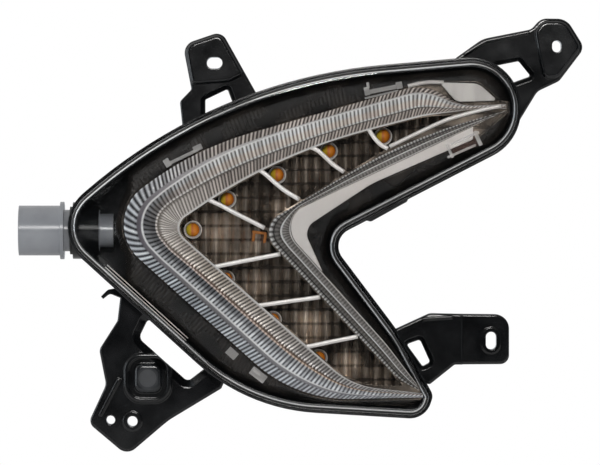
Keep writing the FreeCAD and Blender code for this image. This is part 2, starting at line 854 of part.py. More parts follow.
export("bulb", [make_bulb()])
export("breather_vent", [make_breather_vent()])
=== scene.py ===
import math

import bmesh
import bpy
import numpy as np
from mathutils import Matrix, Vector, geometry


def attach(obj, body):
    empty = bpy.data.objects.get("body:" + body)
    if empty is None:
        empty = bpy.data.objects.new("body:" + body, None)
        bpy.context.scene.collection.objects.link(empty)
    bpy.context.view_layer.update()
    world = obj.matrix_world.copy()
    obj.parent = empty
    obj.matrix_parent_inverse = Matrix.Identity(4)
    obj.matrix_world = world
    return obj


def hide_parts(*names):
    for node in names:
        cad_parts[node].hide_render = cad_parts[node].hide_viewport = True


# Looks of the front parking light: +X runs along the lamp, +Z is up and the lens faces -Y.
# Lengths are in millimetres until a mesh is written; materials and the stage are in metres.

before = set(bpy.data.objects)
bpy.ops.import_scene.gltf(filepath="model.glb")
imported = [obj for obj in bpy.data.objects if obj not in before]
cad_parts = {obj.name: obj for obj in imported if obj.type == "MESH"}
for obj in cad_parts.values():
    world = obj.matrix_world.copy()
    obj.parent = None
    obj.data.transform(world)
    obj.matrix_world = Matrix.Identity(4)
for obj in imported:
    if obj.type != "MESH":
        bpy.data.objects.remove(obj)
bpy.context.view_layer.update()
scene = bpy.context.scene
METRE = 0.001

# Depths of the part
rim_front_y = -14.0
bead_front_y = -9.6
seat_y = -21.0
reflector_back_y = -1.0
lens_front_y = -38.0

# Lens
lens_inset = 1.6
lens_wall = 1.8
lens_draft = 0.8
lens_face_radius = 1100.0
lens_face_centre_x = 90.0
lens_edge_radius = 3.0
lens_flat_border = [0.4, 1.2]
lens_step = 2.5
lens_grid = 5.0

# Outlines: corners as x, z and corner radius
rim_corners = [
    (-47.3, 107.7, 24.0),
    (45.1, 188.0, 288.0),
    (213.7, 202.8, 28.0),
    (213.7, 154.2, 28.0),
    (108.4, 100.0, 10.0),
    (147.4, 48.3, 110.0),
    (165.6, 14.7, 6.0),
    (161.2, 1.5, 12.0),
    (63.3, 7.3, 107.0),
]
band_outer = [
    (205.2, 174.6, 0.0),
    (180.0, 173.4, 28.0),
    (161.2, 185.8, 27.0),
    (34.5, 149.7, 180.0),
    (-18.2, 110.2, 25.0),
    (90.0, 12.5, 77.0),
    (159.6, 13.8, 0.0),
]
band_inner = [
    (205.2, 171.9, 0.0),
    (184.0, 171.3, 60.0),
    (160.0, 168.0, 60.0),
    (81.6, 147.5, 300.0),
    (21.6, 107.4, 7.6),
    (121.0, 20.2, 44.0),
    (159.6, 16.0, 0.0),
]
bar_outer = [
    (206.0, 171.0, 0.0),
    (150.0, 155.3, 300.0),
    (69.2, 106.6, 11.0),
    (146.0, 24.0, 40.0),
    (157.6, 17.6, 0.0),
]
bar_inner = [
    (193.0, 165.2, 0.0),
    (150.0, 144.6, 600.0),
    (78.5, 111.3, 13.5),
    (140.0, 42.6, 150.0),
    (157.0, 20.0, 0.0),
]
plate_corners = [
    (207.0, 175.8, 1.0),
    (202.0, 176.6, 2.0),
    (190.6, 186.9, 9.0),
    (161.0, 187.2, 27.0),
    (34.0, 151.0, 180.0),
    (-20.0, 110.2, 26.0),
    (89.5, 11.2, 78.0),
    (159.0, 12.6, 1.0),
    (157.6, 20.2, 1.0),
    (105.4, 82.4, 4.0),
    (94.6, 105.6, 8.0),
    (131.0, 129.8, 60.0),
    (188.0, 154.2, 2.0),
    (207.0, 170.2, 1.0),
]

# Light guide band: ridges along it, and borders between its rows as shares of its width at the knots
band_lift = 0.12
band_pitch = 2.2
band_fine_pitch = 2.0
band_samples = 8
band_full_width = 12.0
band_least_taper = 0.25
band_knots = [0.0, 0.3, 0.5, 0.62, 1.0]
band_borders = [
    [0.16, 0.18, 0.21, 0.22, 0.2],
    [0.20, 0.22, 0.32, 0.34, 0.28],
    [0.60, 0.62, 0.54, 0.60, 0.60],
    [0.68, 0.70, 0.59, 0.65, 0.66],
    [0.93, 0.93, 0.95, 0.95, 0.93],
]
band_row_samples = (5, 4, 8, 4, 5, 2)
match_reach = 6.0
# Painted glints: each ridge's highlight is scaled by an uneven factor in this range
painted_glint_low = 0.6
painted_glint_spread = 0.75

# Heights of the band's rows above its back, and how far their ridges lean, in ridges
border_height = 2.2
slope_rise = 1.2
outer_ridge = 0.45
outer_lean = 0.9
channel_height = 3.4
channel_dip = 0.6
tooth_rise = 1.6
tooth_ridge = 0.6
tooth_lean = 0.5
bead_height = 3.2
bead_rise = 0.55
bead_lead = 1.4
fine_fall = 1.0
fine_ridge = 0.32
fine_lean = 1.2
lip_fall = 0.4

# Light bar: borders of its strips as shares of its width, and swell, power and rib height of each strip
bar_pitch = 1.9
bar_samples = 6
bar_full_width = 6.0
bar_least_taper = 0.35
bar_height = 2.6
bar_borders = [0.0, 0.16, 0.22, 0.50, 0.56, 0.92, 1.0]
bar_strip_samples = (4, 2, 5, 2, 6, 2)
bar_rises = [
    (0.8, 1.0, 0.22),
    (-0.5, 1.0, 0.0),
    (0.7, 0.6, 0.16),
    (-0.6, 1.0, 0.0),
    (1.2, 0.7, 0.2),
    (-0.3, 1.0, 0.0),
]

# Amber domes
dome_places = [
    (138.1, 157.0),
    (108.2, 148.8),
    (79.8, 135.7),
    (52.4, 122.3),
    (33.5, 105.6),
    (51.6, 78.4),
    (77.4, 56.0),
    (102.6, 35.0),
]
dome_radius = 3.8
dome_height = 12.0
cup_profile = [(5.0, -1.0), (5.0, -6.4), (4.7, -6.8), (4.3, -6.4), (4.2, -2.0)]
chip_sides_x = (-1.0, 1.0)
chip_sides_y = (-6.4, -2.0)
chip_sides_z = (-1.1, 1.1)
chip_shift = (-0.7, 0.0, 0.0)

# Fins between the cells: points on their front edges, and other thin strips
fin_lines = [
    ((129.6, 161.6), (131.2, 158.6), (133.6, 155.2), (136.6, 152.0), (140.5, 150.0)),
    ((97.4, 151.2), (102.0, 149.3), (106.5, 145.2), (110.6, 141.2), (116.5, 137.2)),
    ((67.4, 140.2), (73.0, 136.6), (78.6, 131.4), (84.2, 126.8), (92.0, 122.2)),
    ((42.0, 122.2), (49.0, 119.0), (56.0, 115.2), (63.5, 111.4), (73.0, 106.6)),
    ((44.2, 85.0), (52.0, 86.6), (60.0, 88.2), (70.0, 90.1), (81.5, 92.3)),
    ((68.2, 63.9), (77.0, 65.1), (86.0, 66.4), (95.0, 67.6), (103.4, 68.8)),
    ((94.2, 41.1), (101.0, 42.5), (108.0, 44.0), (116.0, 45.6), (124.0, 47.2)),
]
fin_width = 2.4
fin_rise = 0.6
fin_sink = 0.1
tip_strip_line = [(141.4, 151.1), (158.4, 159.4), (173.3, 166.3), (191.4, 171.2), (202.4, 173.4)]
tip_strip_width = 2.2
tip_strip_rise = 2.6
# Two pale ribs on the rim inside the lower-left lens edge: painted highlight lines
painted_edge_highlight_lines = [
    ((29.9, 44.9), (11.4, 61.7), (-14.5, 85.2)),
    ((31.0, 46.0), (12.5, 62.8), (-13.4, 86.3)),
]
painted_edge_highlight_width = 0.5
painted_edge_highlight_rise = 1.2
painted_edge_highlight_sink = 0.2
tip_wing_line = [(151.5, 184.2), (157.5, 185.7), (164.0, 186.5), (171.0, 186.2)]
strip_section = [(0.5, 0.0), (0.46, 0.6), (0.3, 0.92), (0.0, 1.0), (-0.3, 0.92), (-0.46, 0.6), (-0.5, 0.0)]
strip_steps = 6
strip_smoothing = 4

# Dark skirt from the reflector's edge to the housing's wall, fluted outside the band
skirt_overlap = 1.0
skirt_front_y = -21.5
skirt_drop = 11.0
skirt_full_width = 6.0
skirt_wall = 0.35
skirt_pitch = 2.2
skirt_rise = 0.8
skirt_wall_inset = 5.9
skirt_apex_x = [0.0, 25.0]
skirt_apex_width = [5.0, 40.0]
skirt_ridge_samples = 6
skirt_columns = 9
skirt_fall_power = 1.3
skirt_wall_step = 0.6
skirt_smoothing = 60

# Painted light on the band: tones from crest (painted highlight) to valley (painted shade) on the upper arm,
# at the apex, on the lower arm and at its end; their change along the band paints the reflections of what
# lies behind it
painted_light_knots = [0.40, 0.53, 0.64, 0.88]
outer_painted_crest = [(0.68, 0.60, 0.55), (0.78, 0.82, 0.88), (0.80, 0.85, 0.92), (0.60, 0.62, 0.66)]
outer_painted_valley = [(0.04, 0.03, 0.025), (0.015, 0.016, 0.02), (0.004, 0.005, 0.007), (0.10, 0.10, 0.11)]
channel_painted_tone = [(0.55, 0.53, 0.53), (0.17, 0.155, 0.18), (0.20, 0.19, 0.20), (0.26, 0.26, 0.28)]
tooth_painted_crest = [(1.0, 1.0, 1.0), (0.14, 0.14, 0.15), (0.92, 0.94, 0.97), (0.84, 0.86, 0.90)]
tooth_painted_valley = [(0.12, 0.11, 0.105), (0.004, 0.004, 0.005), (0.04, 0.04, 0.045), (0.06, 0.06, 0.07)]
foot_painted_crest = [(0.92, 0.82, 0.75), (0.16, 0.155, 0.16), (0.30, 0.31, 0.34), (0.66, 0.67, 0.69)]
foot_painted_valley = [(0.22, 0.17, 0.14), (0.006, 0.006, 0.007), (0.003, 0.0035, 0.005), (0.06, 0.06, 0.07)]
bead_painted_crest = [(1.0, 0.98, 0.95), (0.95, 0.89, 0.86), (1.0, 0.84, 0.76), (0.90, 0.68, 0.52)]
bead_painted_valley = [(0.09, 0.08, 0.072), (0.16, 0.14, 0.12), (0.18, 0.12, 0.09), (0.12, 0.075, 0.05)]
fine_painted_crest = [(0.58, 0.50, 0.45), (0.85, 0.80, 0.76), (0.74, 0.65, 0.56), (0.54, 0.52, 0.51)]
fine_painted_valley = [(0.03, 0.022, 0.018), (0.24, 0.215, 0.19), (0.03, 0.022, 0.016), (0.07, 0.065, 0.065)]
# Grey lip that shades into a painted highlight line, which also runs along the channel
lip_painted_tone = (0.58, 0.56, 0.54)
painted_highlight_line = (0.95, 0.94, 0.93)

# Painted light on the bar's strips, from crest (painted highlight) to valley (painted shade); the pale even
# strips are painted highlight lines
bar_painted_light = [
    ((0.75, 0.74, 0.73), (0.05, 0.046, 0.043)),
    ((0.03, 0.027, 0.025), (0.03, 0.027, 0.025)),
    ((0.17, 0.155, 0.145), (0.05, 0.045, 0.04)),
    ((0.85, 0.84, 0.83), (0.85, 0.84, 0.83)),
    ((0.30, 0.28, 0.265), (0.10, 0.092, 0.086)),
    ((0.75, 0.73, 0.71), (0.75, 0.73, 0.71)),
]

# Painted light across an amber dome, from left to right: the chip's refracted yellow image on the left, a
# darker band, then orange-red shading to the right
dome_painted_light_places = [-1.0, -0.35, -0.1, 0.3, 1.0]
dome_painted_light = [
    (0.92, 0.76, 0.06),
    (1.0, 0.62, 0.04),
    (0.78, 0.20, 0.06),
    (1.0, 0.34, 0.02),
    (0.72, 0.16, 0.01),
]

tab_tone = (0.90, 0.88, 0.86)
# Painted shade for the pane inside the clear window
pane_painted_shade = (0.14, 0.08, 0.065)
amber_clip_tone = (0.36, 0.13, 0.03)

# Clear tabs, window and clip as blocks: x, z, length, width, front y, back y and angle in degrees
upper_tab_blocks = [
    (137.6, 182.4, 15.0, 2.4, -24.2, -18.0, 11.0),
    (129.0, 181.4, 3.0, 4.6, -25.0, -18.0, 11.0),
    (146.6, 184.6, 3.6, 3.8, -25.0, -18.0, 11.0),
    (129.6, 184.6, 1.5, 3.4, -23.4, -18.0, 6.0),
    (137.0, 179.6, 19.0, 1.2, -22.4, -18.0, 13.0),
]
left_tab_blocks = [
    (28.6, 145.6, 18.0, 1.8, -23.2, -18.0, 25.7),
    (19.8, 142.2, 3.4, 4.6, -24.0, -18.0, 32.0),
    (36.4, 150.4, 5.2, 3.2, -24.0, -18.0, 25.0),
]
lower_tab_blocks = [
    (55.2, 38.0, 6.4, 4.6, -23.4, -18.0, -42.0),
    (69.6, 26.2, 9.6, 4.8, -23.4, -18.0, -38.0),
    (69.0, 27.6, 4.4, 2.0, -25.0, -18.0, -38.0),
]
window_blocks = [
    (182.6, 155.6, 17.0, 1.4, -25.4, -20.0, 24.0),
    (180.8, 148.6, 17.0, 1.4, -25.4, -20.0, 24.0),
    (174.2, 148.8, 1.6, 8.4, -25.4, -20.0, 24.0),
    (189.6, 155.6, 2.2, 8.6, -25.8, -20.0, 24.0),
]
# Dark pane inside the clear window: painted shade of what is seen through it
window_shade_pane_blocks = [(181.8, 152.2, 14.6, 6.4, -23.0, -20.4, 24.0)]
amber_clip_blocks = [
    (70.2, 104.0, 8.0, 1.6, -17.0, -1.0, -8.0),
    (67.0, 101.6, 1.6, 5.0, -17.0, -1.0, -8.0),
    (73.2, 100.8, 1.6, 5.0, -17.0, -1.0, -8.0),
]
block_bevel = 0.45

# Places with their own gloss and painted light, as x, z and radius: on the housing a rougher satin patch
# whose colour is lifted as a painted sheen, in the cells lighter patches of painted reflection
housing_satin_and_painted_sheen = [(8.5, 23.8, 7.0)]
# Lighter patches of painted reflection in the cells
cell_painted_light = [
    (56.0, 100.0, 15.0),
    (66.0, 77.0, 9.0),
    (97.0, 50.5, 10.0),
    (118.0, 29.0, 9.0),
    (86.0, 117.0, 9.0),
]
# Height of the cells' rows, parted by lines of painted shade
cell_painted_shade_row_height = 7.7

# Stage in metres, its surroundings from front to back, and the lamps' colours
view_centre_x = 0.0924
view_centre_z = 0.1041
view_width = 0.33
view_distance = 3.0
view_plane_y = -0.008
view_clip_end = 50.0
sensor_width = 36.0
floor_half = 1.8
floor_level = -0.12
tent_stops = [(0.0, 0.03), (0.06, 0.06), (0.22, 0.42), (0.42, 0.95), (1.0, 1.0)]
tent_low_tint = (0.72, 0.82, 0.92)
tent_turn = 0.6
tent_right_level = 0.4
warm_white = (1.0, 0.985, 0.97)
cool_white = (0.86, 0.94, 1.0)


# Materials

def new_material(name):
    """Empty node material with a principled shader on its output."""
    material = bpy.data.materials.new(name)
    material.use_nodes = True
    tree = material.node_tree
    tree.nodes.clear()
    output = tree.nodes.new("ShaderNodeOutputMaterial")
    shader = tree.nodes.new("ShaderNodeBsdfPrincipled")
    tree.links.new(shader.outputs["BSDF"], output.inputs["Surface"])
    return material, tree, shader, output


def object_noise(tree, scale, detail=3.0, stretch=(1.0, 1.0, 1.0)):
    """Noise in the part's own coordinates."""
    place = tree.nodes.new("ShaderNodeTexCoord")
    mapping = tree.nodes.new("ShaderNodeMapping")
    mapping.inputs["Scale"].default_value = stretch
    noise = tree.nodes.new("ShaderNodeTexNoise")
    noise.inputs["Scale"].default_value = scale
    noise.inputs["Detail"].default_value = detail
    tree.links.new(place.outputs["Object"], mapping.inputs["Vector"])
    tree.links.new(mapping.outputs["Vector"], noise.inputs["Vector"])
    return noise


def ramp(tree, source, low, high, start=0.35, end=0.65):
    """Two colours mixed along a texture."""
    node = tree.nodes.new("ShaderNodeValToRGB")
    node.color_ramp.elements[0].position = start
    node.color_ramp.elements[1].position = end
    node.color_ramp.elements[0].color = (*low, 1.0)
    node.color_ramp.elements[1].color = (*high, 1.0)
    tree.links.new(source, node.inputs["Fac"])
    return node.outputs["Color"]


def map_range(tree, source, from_min, from_max, to_min, to_max):
    """Value moved from one range to another and kept within it."""
    node = tree.nodes.new("ShaderNodeMapRange")
    node.inputs["From Min"].default_value = from_min
    node.inputs["From Max"].default_value = from_max
    node.inputs["To Min"].default_value = to_min
    node.inputs["To Max"].default_value = to_max
    tree.links.new(source, node.inputs["Value"])
    return node.outputs["Result"]


def spread(tree, source, low, high):
    """Texture value moved to a range."""
    return map_range(tree, source, 0.3, 0.7, low, high)


def multiplied(tree, first, second):
    """Two colours multiplied."""
    node = tree.nodes.new("ShaderNodeMix")
    node.data_type = "RGBA"
    node.blend_type = "MULTIPLY"
    node.inputs["Factor"].default_value = 1.0
    tree.links.new(first, node.inputs["A"])
    tree.links.new(second, node.inputs["B"])
    return node.outputs["Result"]


def joined(tree, operation, first, second):
    """Two values put together by one math node."""
    node = tree.nodes.new("ShaderNodeMath")
    node.operation = operation
    tree.links.new(first, node.inputs[0])
    tree.links.new(second, node.inputs[1])
    return node.outputs["Value"]


def zone_share(tree, zones):
    """Value that is 1 inside round zones of the part, given as x, z and radius, and 0 away from them."""
    place = tree.nodes.new("ShaderNodeTexCoord")
    flat = tree.nodes.new("ShaderNodeMapping")
    flat.inputs["Scale"].default_value = (1.0, 0.0, 1.0)
    tree.links.new(place.outputs["Object"], flat.inputs["Vector"])
    total = None
    for x, z, radius in zones:
        away = tree.nodes.new("ShaderNodeVectorMath")
        away.operation = "DISTANCE"
        away.inputs[1].default_value = (x * METRE, 0.0, z * METRE)
        tree.links.new(flat.outputs["Vector"], away.inputs[0])
        value = map_range(tree, away.outputs["Value"], 0.5 * radius * METRE, 1.3 * radius * METRE, 1.0, 0.0)
        total = value if total is None else joined(tree, "MAXIMUM", total, value)
    return total


def zone_value(tree, share, outside, inside_zone):
    """Value that goes from one number outside the zones to another inside them."""
    return map_range(tree, share, 0.0, 1.0, outside, inside_zone)


def painted_row_shade(tree, height):
    """Painted shade: value that falls to a dark line between level rows."""
    place = tree.nodes.new("ShaderNodeTexCoord")
    parts = tree.nodes.new("ShaderNodeSeparateXYZ")
    tree.links.new(place.outputs["Object"], parts.inputs["Vector"])
    swing = tree.nodes.new("ShaderNodeMath")
    swing.operation = "PINGPONG"
    swing.inputs[1].default_value = 0.5 * height * METRE
    tree.links.new(parts.outputs["Z"], swing.inputs[0])
    return map_range(tree, swing.outputs["Value"], 0.04 * height * METRE, 0.16 * height * METRE, 0.45, 1.0)


def scaled_colour(tree, colour, factor):
    """Colour made lighter or darker by a value."""
    node = tree.nodes.new("ShaderNodeVectorMath")
    node.operation = "SCALE"
    tree.links.new(colour, node.inputs[0])
    tree.links.new(factor, node.inputs["Scale"])
    return node.outputs["Vector"]


def moulded(name, low, high, rough, grain=900.0, bump=0.05, edge=0.0006, metallic=0.0, specular=0.5,
            stretch=(1.0, 1.0, 1.0), zones=(), zone_rough=0.0, painted_light_gain=1.0, painted_shade_row_height=0.0):
    """Opaque surface with mottled colour, uneven gloss, fine grain and softened edges; where asked, also
    painted light: lighter zones and dark lines between rows.
    """
    material, tree, shader, _ = new_material(name)
    mottle = object_noise(tree, 60.0, stretch=stretch)
    fine = object_noise(tree, grain, 2.0)
    colour = ramp(tree, mottle.outputs["Fac"], low, high)
    gloss = spread(tree, mottle.outputs["Fac"], *rough)
    # Inside the zones the colour is lifted by painted light (a painted sheen on the housing, painted
    # reflections in the cells); the rougher gloss there is the part's own.
    if zones:
        share = zone_share(tree, zones)
        colour = scaled_colour(tree, colour, zone_value(tree, share, 1.0, painted_light_gain))
        gloss = joined(tree, "MAXIMUM", gloss, zone_value(tree, share, 0.0, zone_rough))
    if painted_shade_row_height:
        colour = scaled_colour(tree, colour, painted_row_shade(tree, painted_shade_row_height))
    tree.links.new(colour, shader.inputs["Base Color"])
    tree.links.new(gloss, shader.inputs["Roughness"])
    soft_edge = tree.nodes.new("ShaderNodeBevel")
    soft_edge.samples = 8
    soft_edge.inputs["Radius"].default_value = edge
    relief = tree.nodes.new("ShaderNodeBump")
    relief.inputs["Strength"].default_value = bump
    relief.inputs["Distance"].default_value = 0.0003
    tree.links.new(fine.outputs["Fac"], relief.inputs["Height"])
    tree.links.new(soft_edge.outputs["Normal"], relief.inputs["Normal"])
    tree.links.new(relief.outputs["Normal"], shader.inputs["Normal"])
    shader.inputs["Metallic"].default_value = metallic
    shader.inputs["Specular IOR Level"].default_value = specular
    return material


def toned_colour(tree, colour):
    """Colour multiplied by the tone that a mesh carries at its points, which on the band, bar and domes is
    painted light.
    """
    tone = tree.nodes.new("ShaderNodeAttribute")
    tone.attribute_name = "tone"
    return multiplied(tree, tone.outputs["Color"], colour)


def clear(name, low, high, rough, ior=1.49, transmission=1.0, metallic=0.0, coat=0.0, toned=False):
    """Clear plastic; light that falls on what lies behind it passes straight through."""
    material, tree, shader, output = new_material(name)
    polished = rough == (0.0, 0.0)
    mottle = object_noise(tree, 25.0)
    colour = ramp(tree, mottle.outputs["Fac"], low, high)
    if toned:
        colour = toned_colour(tree, colour)
    tree.links.new(colour, shader.inputs["Base Color"])
    shader.inputs["Coat Weight"].default_value = coat
    if polished:
        shader.inputs["Roughness"].default_value = 0.0
    else:
        tree.links.new(spread(tree, mottle.outputs["Fac"], *rough), shader.inputs["Roughness"])
    shader.inputs["Transmission Weight"].default_value = transmission
    shader.inputs["IOR"].default_value = ior
    shader.inputs["Metallic"].default_value = metallic
    path = tree.nodes.new("ShaderNodeLightPath")
    open_rays = joined(tree, "MAXIMUM", path.outputs["Is Shadow Ray"], path.outputs["Is Diffuse Ray"])
    through = tree.nodes.new("ShaderNodeBsdfTransparent")
    mix = tree.nodes.new("ShaderNodeMixShader")
    tree.links.new(open_rays, mix.inputs["Fac"])
    tree.links.new(shader.outputs["BSDF"], mix.inputs[1])
    tree.links.new(through.outputs["BSDF"], mix.inputs[2])
    tree.links.new(mix.outputs["Shader"], output.inputs["Surface"])
    return material


# Black housing: the satin zone's lifted colour is a painted sheen.
housing_black = moulded(
    "housing_black", (0.003, 0.0034, 0.004), (0.007, 0.0078, 0.009), (0.10, 0.16),
    bump=0.003, edge=0.0009, zones=housing_satin_and_painted_sheen, zone_rough=0.36, painted_light_gain=6.0,
)
sealant_grey = moulded("sealant_grey", (0.01, 0.01, 0.01), (0.02, 0.02, 0.02), (0.55, 0.75), bump=0.2)
lens_clear = clear("lens_clear", (0.97, 0.985, 0.99), (1.0, 1.0, 1.0), (0.0, 0.0))
# Metallised reflector: the lighter cell zones are painted reflections, and the dark lines between rows are
# painted shade for the grid of its pillow optics.
reflector_bright = moulded(
    "reflector_bright", (0.085, 0.07, 0.057), (0.28, 0.23, 0.185), (0.12, 0.20),
    grain=500.0, bump=0.004, edge=0.0004, metallic=0.72,
    zones=cell_painted_light, painted_light_gain=3.5, painted_shade_row_height=cell_painted_shade_row_height,
)
guide_clear = clear(
    "guide_clear", (0.90, 0.89, 0.88), (1.0, 1.0, 1.0), (0.09, 0.15),
    transmission=0.0, metallic=0.15, coat=0.4, toned=True,
)
bar_clear = clear(
    "bar_clear", (0.90, 0.89, 0.88), (1.0, 1.0, 1.0), (0.09, 0.15),
    transmission=0.0, metallic=0.15, coat=0.4, toned=True,
)
tab_clear = clear(
    "tab_clear", (0.90, 0.89, 0.88), (1.0, 1.0, 1.0), (0.08, 0.14),
    transmission=0.65, metallic=0.1, coat=0.4, toned=True,
)
skirt_black = moulded(
    "skirt_black", (0.005, 0.0045, 0.0042), (0.024, 0.02, 0.017), (0.16, 0.26),
    grain=700.0, bump=0.004, specular=0.32,
)
trim_pale = moulded(
    "trim_pale", (0.50, 0.465, 0.44), (0.57, 0.535, 0.51), (0.46, 0.54),
    grain=1500.0, bump=0.03, edge=0.0005, metallic=0.1,
)
fin_pale = moulded(
    "fin_pale", (0.70, 0.66, 0.63), (0.80, 0.77, 0.74), (0.3, 0.4),
    grain=1500.0, bump=0.02, edge=0.0004, metallic=0.1,
)
tip_pale = moulded(
    "tip_pale", (0.24, 0.225, 0.21), (0.46, 0.43, 0.405), (0.30, 0.42),
    grain=1500.0, bump=0.02, edge=0.0004, metallic=0.15, stretch=(1.0, 1.0, 0.12),
)
dome_amber = clear(
    "dome_amber", (0.92, 0.90, 0.88), (1.0, 1.0, 1.0), (0.1, 0.16),
    ior=1.5, transmission=0.0, coat=0.5, toned=True,
)
chip_yellow = moulded("chip_yellow", (0.80, 0.52, 0.03), (0.92, 0.70, 0.06), (0.3, 0.4))
board_green = moulded("board_green", (0.012, 0.06, 0.03), (0.02, 0.09, 0.045), (0.35, 0.5))
screw_steel = moulded(
    "screw_steel", (0.50, 0.50, 0.51), (0.62, 0.62, 0.63), (0.25, 0.4),
    grain=700.0, bump=0.05, edge=0.0003, metallic=1.0,
)
socket_grey = moulded(
    "socket_grey", (0.27, 0.282, 0.305), (0.325, 0.338, 0.362), (0.18, 0.24),
    grain=1100.0, bump=0.01, edge=0.0005,
)
terminal_brass = moulded(
    "terminal_brass", (0.62, 0.45, 0.2), (0.74, 0.57, 0.28), (0.22, 0.35),
    grain=600.0, bump=0.03, edge=0.0003, metallic=1.0,
)
gasket_black = moulded("gasket_black", (0.012, 0.012, 0.013), (0.022, 0.022, 0.024), (0.55, 0.7))
bulb_glass = clear("bulb_glass", (0.95, 0.97, 0.98), (1.0, 1.0, 1.0), (0.0, 0.0), 1.5)
vent_black = moulded("vent_black", (0.012, 0.012, 0.013), (0.022, 0.022, 0.024), (0.5, 0.65))


# Outlines

def outline_spans(corners, inset=0.0, closed=True):
    """Straight runs and tangent arcs of a filleted outline; a closed outline can be moved inwards."""
    points = [np.array((x, z)) for x, z, radius in corners]
    count = len(points)
    area = sum(a[0] * b[1] - b[0] * a[1] for a, b in zip(points, points[1:] + points[:1]))
    side = math.copysign(1.0, area)
    runs = []
    for i in range(count):
        run = points[(i + 1) % count] - points[i]
        runs.append(run / np.linalg.norm(run))
    ends = []
    for i, (x, z, radius) in enumerate(corners):
        before, after = runs[i - 1], runs[i]
        if not closed and i in (0, count - 1):
            ends.append((points[i], points[i], None))
            continue
        normal_before = side * np.array((-before[1], before[0]))
        normal_after = side * np.array((-after[1], after[0]))
        corner = points[i] + (normal_before + normal_after) * inset / (1.0 + normal_before @ normal_after)
        if radius == 0.0:
            ends.append((corner, corner, None))
            continue
        convex = (before[0] * after[1] - before[1] * after[0]) * side > 0
        arc_radius = max(radius - inset, 0.4) if convex else radius + inset
        half_turn = 0.5 * math.acos(max(-1.0, min(1.0, before @ after)))
        tangent = arc_radius * math.tan(half_turn)
        inwards = (after - before) / np.linalg.norm(after - before)
        centre = corner + inwards * arc_radius / math.cos(half_turn)
        ends.append((corner - before * tangent, corner + after * tangent, centre))
    spans = []
    for i, (start, end, centre) in enumerate(ends):
        if centre is not None:
            spans.append((start, end, centre))
        if closed or i < count - 1:
            spans.append((end, ends[(i + 1) % count][0], None))
    return spans


def span_points(span, shares):
    """Points of a run or arc at shares of its length."""
    start, end, centre = span
    shares = np.asarray(shares)[:, None]
    if centre is None:
        return start + (end - start) * shares
    first, last = start - centre, end - centre
    angle = math.atan2(first[1], first[0])
    sweep = math.atan2(first[0] * last[1] - first[1] * last[0], first @ last)
    angles = angle + sweep * shares
    return centre + np.linalg.norm(first) * np.hstack((np.cos(angles), np.sin(angles)))


def span_length(span):
    """Length of a run or arc."""
    points = span_points(span, np.linspace(0.0, 1.0, 25))
    return float(np.linalg.norm(np.diff(points, axis=0), axis=1).sum())


def loop_points(corners, inset, step):
    """Points round a closed outline, as many for each inset."""
    counts = [max(1, math.ceil(span_length(span) / step)) for span in outline_spans(corners)]
    rows = []
    for span, count in zip(outline_spans(corners, inset), counts):
        rows.append(span_points(span, np.arange(count) / count))
    return np.vstack(rows)


def inside(points, polygon):
    """Which points lie in a polygon."""
    x, z = points[:, 0:1], points[:, 1:2]
    ax, az = polygon[:, 0], polygon[:, 1]
    bx, bz = np.roll(ax, -1), np.roll(az, -1)
    crosses = (az > z) != (bz > z)
    slope = (bx - ax) / np.where(np.abs(bz - az) < 1e-9, 1e-9, bz - az)
    return ((crosses & (x < ax + (z - az) * slope)).sum(axis=1) % 2) == 1


# Meshes

def placed(name, data):
    """Object for a mesh, lamp or camera, put in the scene."""
    item = bpy.data.objects.new(name, data)
    scene.collection.objects.link(item)
    return item


def ring_faces(rings, count, base=0):
    """Faces between rings of points that follow one another, each ring with as many points."""
    faces = []
    for ring in range(rings - 1):
        a, b = base + ring * count, base + (ring + 1) * count
        for i in range(count):
            j = (i + 1) % count
            faces.append((a + i, a + j, b + j, b + i))
    return faces


def add_piece(name, points, faces, material, stands_for=(), smooth=True, tones=None):
    """Mesh object from points in millimetres, on the part's one body; tones colour its points, and on the
    band, bar and domes they are painted light.
    """
    mesh = bpy.data.meshes.new(name)
    mesh.from_pydata([tuple(p) for p in np.asarray(points) * METRE], [], faces)
    solid = bmesh.new()
    solid.from_mesh(mesh)
    bmesh.ops.recalc_face_normals(solid, faces=solid.faces)
    solid.to_mesh(mesh)
    solid.free()
    mesh.polygons.foreach_set("use_smooth", [smooth] * len(mesh.polygons))
    if tones is not None:
        colours = mesh.color_attributes.new("tone", "FLOAT_COLOR", "POINT")
        colours.data.foreach_set("color", np.column_stack((tones, np.ones(len(tones)))).ravel())
    mesh.materials.append(material)
    piece = placed(name, mesh)
    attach(piece, "root")
    if stands_for:
        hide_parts(*stands_for)
    return piece


def lens_face(x, depth):
    """Depth of the curved lens front at x."""
    sag = lens_face_radius - np.sqrt(lens_face_radius**2 - (x - lens_face_centre_x) ** 2)
    return lens_front_y + depth + sag


def lens_side(wall, edge_radius):
    """Rings of one surface of the lens, from the foot of the skirt to the border of the front."""
    rings = []
    for share in np.linspace(0.0, 1.0, 6):
        flat = loop_points(rim_corners, lens_inset + wall + lens_draft * share, lens_step)
        top = lens_face(flat[:, 0], wall) + edge_radius
        y = bead_front_y + (top - bead_front_y) * share
        rings.append(np.column_stack((flat[:, 0], y, flat[:, 1])))
    for turn in np.linspace(0.0, 0.5 * math.pi, 9)[1:]:
        inset = lens_inset + wall + lens_draft + edge_radius * (1.0 - math.cos(turn))
        flat = loop_points(rim_corners, inset, lens_step)
        y = lens_face(flat[:, 0], wall) + edge_radius * (1.0 - math.sin(turn))
        rings.append(np.column_stack((flat[:, 0], y, flat[:, 1])))
    for place in lens_flat_border:
        flat = loop_points(rim_corners, lens_inset + wall + lens_draft + edge_radius + place, lens_step)
        rings.append(np.column_stack((flat[:, 0], lens_face(flat[:, 0], wall), flat[:, 1])))
    return rings


